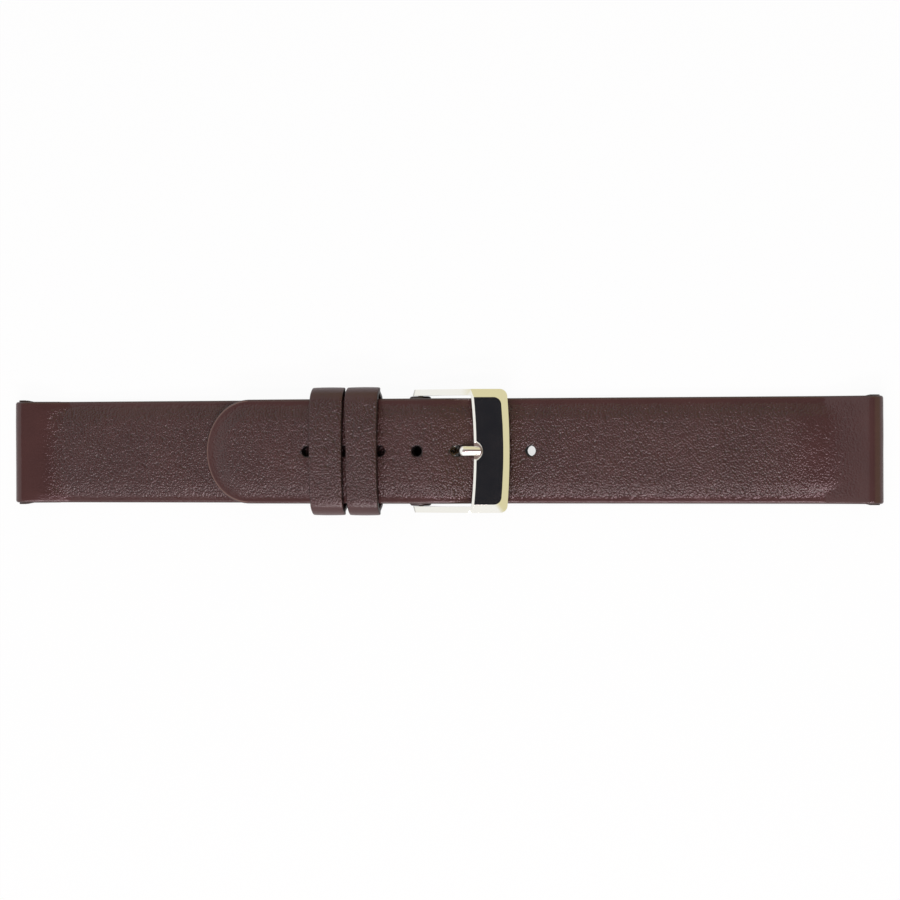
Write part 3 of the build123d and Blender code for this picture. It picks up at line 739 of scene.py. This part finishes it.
feet, tops = (long_place([s for s, _ in hole_dips], height) for height in (0, 1))
row_mesh = bpy.data.meshes.new("hole_row")
row_mesh.from_pydata([(x * MM, 0, z * MM) for x, z in feet], [], [])
for mark, vectors in (("up", [(a - x, 0, b - z) for (x, z), (a, b) in zip(feet, tops)]),
                      ("size", [(1 + stretch / HOLE_DIAMETER, 1, 1) for _, stretch in hole_dips])):
    row_mesh.attributes.new(mark, "FLOAT_VECTOR", "POINT").data.foreach_set("vector", np.ravel(vectors))
hole_row = bpy.data.objects.new("hole_row", row_mesh)
punched = punch_tree()
for piece, material in ((long_face, strap_calf), (long_lining, tan_lining), (long_felt, felt)):
    run_nodes(piece, punched, hole_row=hole_row, hole_diameter=HOLE_DIAMETER * MM,
              punch_length=PUNCH_LENGTH * MM, sides=PUNCH_SIDES, material=material)
    mark_hole_shade(piece)
bpy.data.objects.remove(hole_row)

# Slot in the loop where the tongue's eye swings


def slot_cutter():
    """Rounded block that cuts the slot."""
    corner = 0.5
    left = BAR_STATION - SLOT_LENGTH
    quarter = np.linspace(0, pi / 2, 7)
    outline = [(left + corner - corner * cos(a), side * (SLOT_WIDTH / 2 - corner + corner * sin(a)))
               for side, turns in ((-1, quarter[::-1]), (1, quarter)) for a in turns]
    outline += [(BAR_STATION + 4, SLOT_WIDTH / 2), (BAR_STATION + 4, -SLOT_WIDTH / 2)]
    bm = bmesh.new()
    rings = []
    for h in (-4, 5):
        ring = []
        for s, y in outline:
            x, z = short_place(s, h)
            ring.append(bm.verts.new((x * MM, y * MM, z * MM)))
        rings.append(ring)
    bm.faces.new(rings[0])
    bm.faces.new(rings[1])
    for k in range(len(outline)):
        j = (k + 1) % len(outline)
        bm.faces.new((rings[0][k], rings[0][j], rings[1][j], rings[1][k]))
    bmesh.ops.recalc_face_normals(bm, faces=bm.faces)
    return new_object("slot_cutter", reworked(bm, "slot_cutter"))


def cut_with(piece, cutter):
    """Cuts a cutter's shape out of a piece."""
    modifier = piece.modifiers.new("cut", "BOOLEAN")
    modifier.object = cutter
    modifier.solver = "EXACT"
    apply_modifiers(piece)


# Tapes round the tunnels


def hull_loop(centre, radius, far, far_radius, count=72):
    """Outline of a round tunnel drawn out to a thin tail, as even steps of angle about the tunnel."""
    gap = far - centre
    length = np.hypot(*gap)
    lean = atan2(gap[1], gap[0])
    open_angle = np.arccos((radius - far_radius) / length)
    turns = np.linspace(open_angle, 2 * pi - open_angle, count)
    near = centre + radius * np.array([heading(lean + a) for a in turns])
    tail = far + far_radius * np.array([heading(lean + a) for a in np.linspace(-open_angle, open_angle, 9)])
    return near, tail


def tunnel_tape(name, place, centre, bore, far, half, rim=0.0):
    """Tape folded round a tunnel, its two ends laid together in the strap.

    rim is how far its edge stands out of the leather, only round the tunnel itself."""
    centre = np.array(centre)
    near, tail = hull_loop(centre, bore + TAPE, np.array(far), TAPE / 2)
    down, back = (start + (end - start) * np.linspace(0, 1, 10)[1:-1, None]
                  for start, end in ((near[-1], tail[0]), (tail[-1], near[0])))
    outer = np.concatenate([near, down, tail, back])
    spokes = outer - centre
    inner = centre + bore * spokes / np.hypot(*spokes.T)[:, None]
    soft = 0.06
    rays = []
    for o, i in zip(outer, inner):
        along = (o - i) / max(np.hypot(*(o - i)), 1e-9)
        near_bore = 1 - float(smooth((np.hypot(*(o - centre)) - bore - TAPE) / 0.35))
        wide = half + rim * near_bore
        loop = [(o, -wide + soft), (o, wide - soft), (o - along * soft, wide), (i + along * soft, wide),
                (i, wide - soft), (i, -wide + soft), (i + along * soft, -wide), (o - along * soft, -wide),
                (o, -wide + soft)]
        xz = place(np.array([p[0] for p, _ in loop]), np.array([p[1] for p, _ in loop]))
        rays.append(np.stack([xz[:, 0], [y for _, y in loop], xz[:, 1]], -1))
    return closed_ladder(np.array(rays), {}, name, tape_weave)


long_tape = tunnel_tape("long_lug_tape_band", long_place, (LONG_LUG, LUG_RADIUS), LUG_BORE,
                        (LONG_LUG - LUG_TAPE_REACH, LINING), HALF_WIDTH - 0.1, rim=0.1 + TAPE_OVERHANG)
short_tape = tunnel_tape("short_lug_tape_band", short_place, (0, LUG_RADIUS), LUG_BORE,
                         (LUG_TAPE_REACH, LINING), HALF_WIDTH - 0.1, rim=0.1 + TAPE_OVERHANG)
loop_tape = tunnel_tape("buckle_loop_tape_band", short_place, (BAR_STATION, LOOP_HEIGHT), LOOP_BORE,
                        (BAR_STATION - LOOP_TAPE_REACH, LINING), HALF_WIDTH - 0.05)
cutter = slot_cutter()
for piece in (short_face, loop_tape):
    cut_with(piece, cutter)
bpy.data.objects.remove(cutter)

# Keepers: strips of leather, their edges turned in over a lining, closed into rings by geometry nodes


def keeper_tree():
    """Nodes that sweep the section of a strip round a ring with rounded corners."""
    tree, given = new_group("keeper_strip", {
        "Ring width": "Float", "Ring height": "Float", "Corner radius": "Float", "Strip section": "Object",
        "Material": "Material"})
    ring = add_node(tree, "GeometryNodeCurvePrimitiveQuadrilateral", None,
                    {"Width": given["Ring width"], "Height": given["Ring height"]})
    rounded = add_node(tree, "GeometryNodeFilletCurve", {"mode": "POLY"},
                       {"Curve": ring, "Count": 12, "Radius": given["Corner radius"], "Limit Radius": True})
    way = add_node(tree, "GeometryNodeResampleCurve", {"mode": "LENGTH"},
                   {"Curve": rounded, "Length": 0.25 * MM})
    section = add_node(tree, "GeometryNodeObjectInfo", None, {"Object": given["Strip section"]})
    line = add_node(tree, "GeometryNodeMeshToCurve", None, {"Mesh": section.outputs["Geometry"]})
    swept = add_node(tree, "GeometryNodeCurveToMesh", None, {"Curve": way, "Profile Curve": line})
    return end_group(tree, swept, given["Material"])


keeper_rings = keeper_tree()
ROOM_WIDTH = 2 * (HALF_WIDTH + KEEPER_SIDE_ROOM)
ROOM_HEIGHT = 2 * FULL + REST_GAP + KEEPER_TOP_ROOM
CROWN_FALL = 0.06
EDGE_ROLL = 0.25
ROLL_RUN = 0.25
UNDER_ROUND = 0.12
edge = KEEPER_WIDTH / 2
inner_edge = edge - KEEPER_LIP
crown_edge = edge - EDGE_ROLL - ROLL_RUN
crown = [(KEEPER_WALL - CROWN_FALL * (w / edge) ** 2, w) for w in np.linspace(-crown_edge, crown_edge, 13)]
left_roll = [(KEEPER_WALL - CROWN_FALL - EDGE_ROLL * (1 - sin(t)), -edge + EDGE_ROLL * (1 - cos(t)))
             for t in np.linspace(0, pi / 2, 7)]
right_roll = [(r, -w) for r, w in left_roll[::-1]]
LINING_SECTION = [(0.0, -inner_edge), (KEEPER_LINING, -inner_edge), (KEEPER_LINING, inner_edge),
                  (0.0, inner_edge)]
SKIN_SECTION = ([(UNDER_ROUND, -edge)] + left_roll + crown + right_roll
                + [(UNDER_ROUND, edge), (0.0, edge - UNDER_ROUND)] + LINING_SECTION[::-1]
                + [(0.0, -edge + UNDER_ROUND)])
ARCH_RISE = 0.08
ARCH_HALF = 10.4
SHOULDER_FALL = 1.1
UNDER_TUCK = 0.085
TOP_TUCK = 0.03
FLANK_LEAN = 0.55
KEEPER_MARKS = 0.85


def keeper_layer(name, station, low_gap, trim, section, material):
    """One layer of a keeper: the section's points are distances out from the ring's room and along the strap.

    trim is how much narrower the strip is cut towards its near end."""
    outline = bpy.data.meshes.new(name + "_section")
    count = len(section)
    outline.from_pydata([(r * MM, w * MM, 0) for r, w in section],
                        [(k, (k + 1) % count) for k in range(count)], [])
    strip = bpy.data.objects.new(name + "_section", outline)
    piece = new_object(name, bpy.data.meshes.new(name))
    run_nodes(piece, keeper_rings, ring_width=ROOM_WIDTH * MM, ring_height=(ROOM_HEIGHT + low_gap) * MM,
              corner_radius=(KEEPER_CORNER - KEEPER_WALL) * MM, strip_section=strip, material=material)
    mesh = piece.data
    bpy.data.objects.remove(strip)
    bpy.data.objects.remove(piece)
    y, up, width = points_of(mesh).T
    share = np.clip(up / (ROOM_HEIGHT / 2 + KEEPER_WALL), -1, 1)
    above = smooth((share + 0.1) / 0.5)
    arch = ARCH_RISE - SHOULDER_FALL * np.clip(np.abs(y) / ARCH_HALF, 0, 1) ** 2.4
    rise = up + (ROOM_HEIGHT - low_gap) / 2 + above * arch
    tuck = 1 - UNDER_TUCK * smooth((0.15 - share) / 0.9) * smooth((np.abs(y) - 6) / 3)
    tuck -= TOP_TUCK * smooth((share - 0.35) / 0.5)
    slant = trim * np.clip(-width / edge, 0, 1) * smooth((9 - y) / 9)
    slant -= FLANK_LEAN * smooth((0.75 - share) / 1.6)
    xz = short_place(station + KEEPER_WIDTH / 2 + width + slant, rise)
    placed = np.stack([xz[:, 0], y * tuck, xz[:, 1]], -1)
    mesh.vertices.foreach_set("co", (placed * MM).ravel())
    flank = smooth((np.abs(y) - 8.2) / 1.6)
    side = smooth((np.abs(width) - edge + 0.14) / 0.12)
    add_mark(mesh, "grain", KEEPER_MARKS * (1 - flank))
    add_mark(mesh, "cut", KEEPER_MARKS * side)
    face_outwards(mesh)
    return new_piece(mesh, name, material)


for keeper, station, low_gap, trim, body in (("fixed_keeper", FIXED_KEEPER, 0, 0.4, "short_strap"),
                                             ("free_keeper", FREE_KEEPER, REST_GAP, 0.05, "free_keeper")):
    skin = keeper_layer(keeper + "_face_strip", station, low_gap, trim, SKIN_SECTION, keeper_calf)
    inside = keeper_layer(keeper + "_lining_strip", station, low_gap, trim, LINING_SECTION, tan_lining)
    stands_for(skin, keeper + "_skin", body)
    stands_for(inside, keeper + "_lining", body)

for piece, node, body, slot in (
        (long_face, "long_upper", "long_strap", "face_leather"),
        (long_lining, "long_lining", "long_strap", "lining_leather"),
        (long_felt, "long_filler", "long_strap", "filler"),
        (long_tape, "long_lug_tape", "long_strap", "tape"),
        (short_face, "short_upper", "short_strap", "face_leather"),
        (short_lining, "short_lining", "short_strap", "lining_leather"),
        (short_felt, "short_filler", "short_strap", "filler"),
        (short_tape, "short_lug_tape", "short_strap", "tape"),
        (loop_tape, "buckle_loop_tape", "short_strap", "tape")):
    stands_for(piece, node, body)

# Buckle and spring bar

CROSSBAR_TILT = radians(14)
CROSSBAR_TOP = 7.787
CROSSBAR_BOW = 0.6
PLATE_ROOT = 5.819
PLATE_HALF = 9.1
BEVEL_DEPTH = 0.46


def even_bevel(point):
    """Shift that keeps the crossbar's inner bevel one width along its bow."""
    along = Vector((cos(CROSSBAR_TILT), 0, -sin(CROSSBAR_TILT)))
    depth = CROSSBAR_TOP - (point.x * sin(CROSSBAR_TILT) + point.z * cos(CROSSBAR_TILT))
    share = min((point.y / PLATE_HALF) ** 2, 1)
    root = PLATE_ROOT + CROSSBAR_BOW * (1 - share)
    if depth > BEVEL_DEPTH or point.dot(along) > root + 0.05 or abs(point.y) > PLATE_HALF + 0.2:
        return Vector((0, 0, 0))
    return along * (0.17 * share * (1 - depth / BEVEL_DEPTH))


def polished_copy(node, name, material, softened, dull_until, shift=None):
    """A solid's own shape with its edges softened, as the polishing wheel leaves them.

    Up to the given place along X the steel is marked rougher and painted dark, as painted shade. shift moves
    single points, in millimetres."""
    bm = solid_shape(node)
    bmesh.ops.dissolve_limit(bm, angle_limit=radians(0.6), verts=bm.verts, edges=bm.edges)
    if shift:
        for vert in bm.verts:
            vert.co += shift(vert.co / MM) * MM
    piece = new_piece(reworked(bm, name), name, material, sharp=50)
    bevel = piece.modifiers.new("softened_edges", "BEVEL")
    bevel.width = softened * MM
    bevel.segments = 3
    bevel.limit_method = "ANGLE"
    bevel.angle_limit = radians(12)
    weigh = piece.modifiers.new("flat_faces", "WEIGHTED_NORMAL")
    weigh.mode = "FACE_AREA_WITH_ANGLE"
    weigh.keep_sharp = True
    apply_modifiers(piece)
    add_mark(piece.data, "dull", 1 - smooth((points_of(piece.data)[:, 0] - dull_until) / 0.8))
    return piece


buckle = polished_copy("buckle_frame", "buckle_frame_polished", mirror_steel, softened=0.12,
                       dull_until=-9, shift=even_bevel)
stands_for(buckle, "buckle_frame", "frame")
# The tongue's eye and its shank under the strap get the painted shade
tongue = polished_copy("buckle_tongue", "buckle_tongue_polished", tongue_steel, softened=0.06,
                       dull_until=2.7)
stands_for(tongue, "buckle_tongue", "tongue")
for node in ("bar_barrel", "bar_plunger_near", "bar_plunger_far"):
    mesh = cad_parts[node].data
    mesh.materials.clear()
    mesh.materials.append(pin_steel)

# The bar's spring, in two halves cut at its middle

spring_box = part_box("bar_spring")
spring_middle = (spring_box[0] + spring_box[1]) / 2


def spring_half(name, side):
    """Half of the spring, cut square to the bar at its middle."""
    bm = solid_shape("bar_spring")
    cut = bmesh.ops.bisect_plane(bm, geom=bm.verts[:] + bm.edges[:] + bm.faces[:], plane_co=spring_middle,
                                 plane_no=(0, -side, 0), clear_outer=True)
    rim = [item for item in cut["geom_cut"] if isinstance(item, bmesh.types.BMEdge)]
    bmesh.ops.holes_fill(bm, edges=rim)
    bmesh.ops.recalc_face_normals(bm, faces=bm.faces)
    return new_piece(reworked(bm, name), name, spring_steel, sharp=60)


for name, side, joint in (("bar_spring_near_half", -1, "plunger_near_push"),
                          ("bar_spring_far_half", 1, "plunger_far_push")):
    coil = stands_for(spring_half(name, side), "bar_spring", "short_strap")
    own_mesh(coil)

# Studio

TARGET = Vector((2.15, 0.17, 0)) * MM
TILT = radians(12.8)
DISTANCE = 500 * MM
LENS = 116.6
CAMERA_ROLL = radians(-0.17)
away = Vector((sin(TILT), 0, cos(TILT)))
PLATE_MIDDLE = Vector((9, 0, 6)) * MM


def plane_mesh(name, width, height, material):
    """A flat sheet facing its own Z."""
    mesh = bpy.data.meshes.new(name)
    w, h = width / 2, height / 2
    mesh.from_pydata([(-w, -h, 0), (w, -h, 0), (w, h, 0), (-w, h, 0)], [], [(0, 1, 2, 3)])
    mesh.materials.append(material)
    sheet = new_object(name, mesh)
    return sheet


def white_floor():
    """White paper with a faint painted shadow: it glows plain white to the camera but for the bottom of the
    holes and under the arch of the strap at the buckle, where it is darker, and dim in mirrors near the
    strap."""
    paper, tree, place = new_material("white_paper")
    ray = add_node(tree, "ShaderNodeLightPath").outputs
    seen = add_node(tree, MATH, MOST, {0: ray["Is Camera Ray"], 1: ray["Is Glossy Ray"]})
    seen = add_node(tree, MATH, MOST, {0: seen, 1: ray["Is Transmission Ray"]})
    shade, near = (
        add_node(tree, "ShaderNodeAmbientOcclusion", {"samples": 8}, {"Distance": reach * MM}).outputs["AO"]
        for reach in (9, 3))
    deep = add_node(tree, RANGE, None, {"Value": near, "From Min": 0.05, "From Max": 0.4, "To Min": 0.7})
    # Painted shadow under the arch of the strap at the buckle: a fixed patch of the paper, darkened where it
    # is also covered
    parts = add_node(tree, "ShaderNodeSeparateXYZ", None, {"Vector": place}).outputs
    aside = add_node(tree, MATH, UNSIGNED, {0: parts["Y"]})
    across = add_node(tree, RANGE, EASED, {"Value": aside, "From Min": 8.5 * MM, "From Max": 7 * MM})
    off = add_node(tree, MATH, MINUS, {0: parts["X"], 1: 5 * MM})
    off = add_node(tree, MATH, UNSIGNED, {0: off})
    along = add_node(tree, RANGE, EASED, {"Value": off, "From Min": 8 * MM, "From Max": 5 * MM})
    covered = add_node(tree, RANGE, None, {"Value": shade, "From Min": 0.65, "From Max": 0.45})
    under = add_node(tree, MATH, TIMES, {0: across, 1: along})
    under = add_node(tree, MATH, TIMES, {0: under, 1: covered})
    open_share = add_node(tree, MATH, TIMES_PLUS, {0: under, 1: -0.98, 2: 1.0})
    lit = add_node(tree, MATH, TIMES, {0: deep, 1: open_share})
    level = add_node(tree, MIX, {"data_type": "FLOAT"}, {0: ray["Is Camera Ray"], 2: shade, 3: lit})
    glow = add_node(tree, "ShaderNodeEmission", None, {"Color": linear("#FFFFFF"), "Strength": level})
    matt = add_node(tree, "ShaderNodeBsdfDiffuse", None, {"Color": linear("#F6F6F6")})
    amount = add_node(tree, MATH, TIMES, {0: seen, 1: 0.95})
    mixed = add_node(tree, "ShaderNodeMixShader", None, {0: amount, 1: matt, 2: glow})
    add_node(tree, "ShaderNodeOutputMaterial", None, {"Surface": mixed})
    plane_mesh("floor", 6, 6, paper)


def dark_board():
    """The dark side of the studio that the crossbar's plate mirrors."""
    black, tree = empty_material("dark_board")
    glow = add_node(tree, "ShaderNodeEmission", None, {"Color": linear("#222329"), "Strength": 1.0})
    add_node(tree, "ShaderNodeOutputMaterial", None, {"Surface": glow})
    board = plane_mesh("dark_board", 0.085, 0.055, black)
    seen_from_plate = Vector((sin(2 * CROSSBAR_TILT - TILT), 0, cos(2 * CROSSBAR_TILT - TILT)))
    board.location = PLATE_MIDDLE + seen_from_plate * (DISTANCE * 0.9)
    board.rotation_mode = "QUATERNION"
    board.rotation_quaternion = (-seen_from_plate).to_track_quat("Z", "Y")
    for ray in ("camera", "diffuse", "shadow", "transmission"):
        setattr(board, "visible_" + ray, False)


def soft_light(name, place, colour, width, height, power, seen=True):
    """A soft box aimed at the strap, seen in the metal or not."""
    lamp = bpy.data.lights.new(name, "AREA")
    lamp.shape = "RECTANGLE"
    lamp.size = width
    lamp.size_y = height
    lamp.energy = power
    lamp.color = linear(colour)[:3]
    box = new_object(name, lamp)
    box.location = place
    box.visible_glossy = seen
    box.rotation_mode = "QUATERNION"
    box.rotation_quaternion = (TARGET - Vector(place)).to_track_quat("-Z", "Y")


def pale_world():
    """Even pale light. Mirrors see white walls on the near and left sides, cream ones on the far and
    right sides, and a dimmer, warmer ceiling."""
    world = bpy.data.worlds.new("studio")
    bpy.context.scene.world = world
    world.use_nodes = True
    tree = world.node_tree
    tree.nodes.clear()
    ray = add_node(tree, "ShaderNodeLightPath").outputs
    way = add_node(tree, "ShaderNodeTexCoord").outputs["Generated"]
    side = add_node(tree, "ShaderNodeVectorMath", {"operation": "DOT_PRODUCT"}, {0: way, 1: (0.8, 0.45, 0)})
    side = add_node(tree, MATH, PLUS, {0: side.outputs["Value"], 1: 0.5})
    walls = add_node(tree, COLOUR_RAMP, None, {"Fac": side}, ((0.45, "#FFFFFF"), (0.75, "#E6DFB6")))
    up = add_node(tree, "ShaderNodeSeparateXYZ", None, {"Vector": way}).outputs["Z"]
    ceiling = add_node(tree, RANGE, EASED, {"Value": up, "From Min": 0.85, "From Max": 0.9})
    room = add_node(tree, MIX, COLOURS, {"Factor": ceiling, UNDER: walls, OVER: linear("#8C7A77")})
    mirrored, plain, white = (
        add_node(tree, "ShaderNodeBackground", None, {"Color": colour, "Strength": strength})
        for colour, strength in (
            (room.outputs[MIXED], 1.0), (linear("#FFFFFF"), 0.48), (linear("#FFFFFF"), 1.0)))
    lit = add_node(tree, "ShaderNodeMixShader", None, {0: ray["Is Glossy Ray"], 1: plain, 2: mirrored})
    shown = add_node(tree, "ShaderNodeMixShader", None, {0: ray["Is Camera Ray"], 1: lit, 2: white})
    add_node(tree, "ShaderNodeOutputWorld", None, {"Surface": shown})


def set_camera():
    """The photograph's view: from above, a little towards the holed end, through a long lens."""
    data = bpy.data.cameras.new("camera")
    camera = new_object("camera", data)
    data.sensor_width = 36
    data.lens = LENS
    data.clip_start = 0.01
    right = Vector((cos(TILT), 0, -sin(TILT)))
    turn = Matrix((right, Vector((0, 1, 0)), away)).transposed().to_4x4()
    roll = Matrix.Rotation(CAMERA_ROLL, 4, "Z")
    camera.matrix_world = Matrix.Translation(TARGET + away * DISTANCE) @ turn @ roll
    bpy.context.scene.camera = camera


white_floor()
dark_board()
pale_world()
soft_light("key_light", (0.0, -0.39, 0.34), "#FFF8F8", width=0.4, height=0.1, power=1.1)
soft_light("glint_light", (0.03, -0.21, 0.45), "#FFE0EA", width=0.2, height=0.08, power=0.6)
soft_light("fill_light", (0.1, 0.45, 0.4), "#FFF8EE", width=0.5, height=0.3, power=0.12, seen=False)
set_camera()
bpy.context.scene.view_settings.view_transform = "Standard"
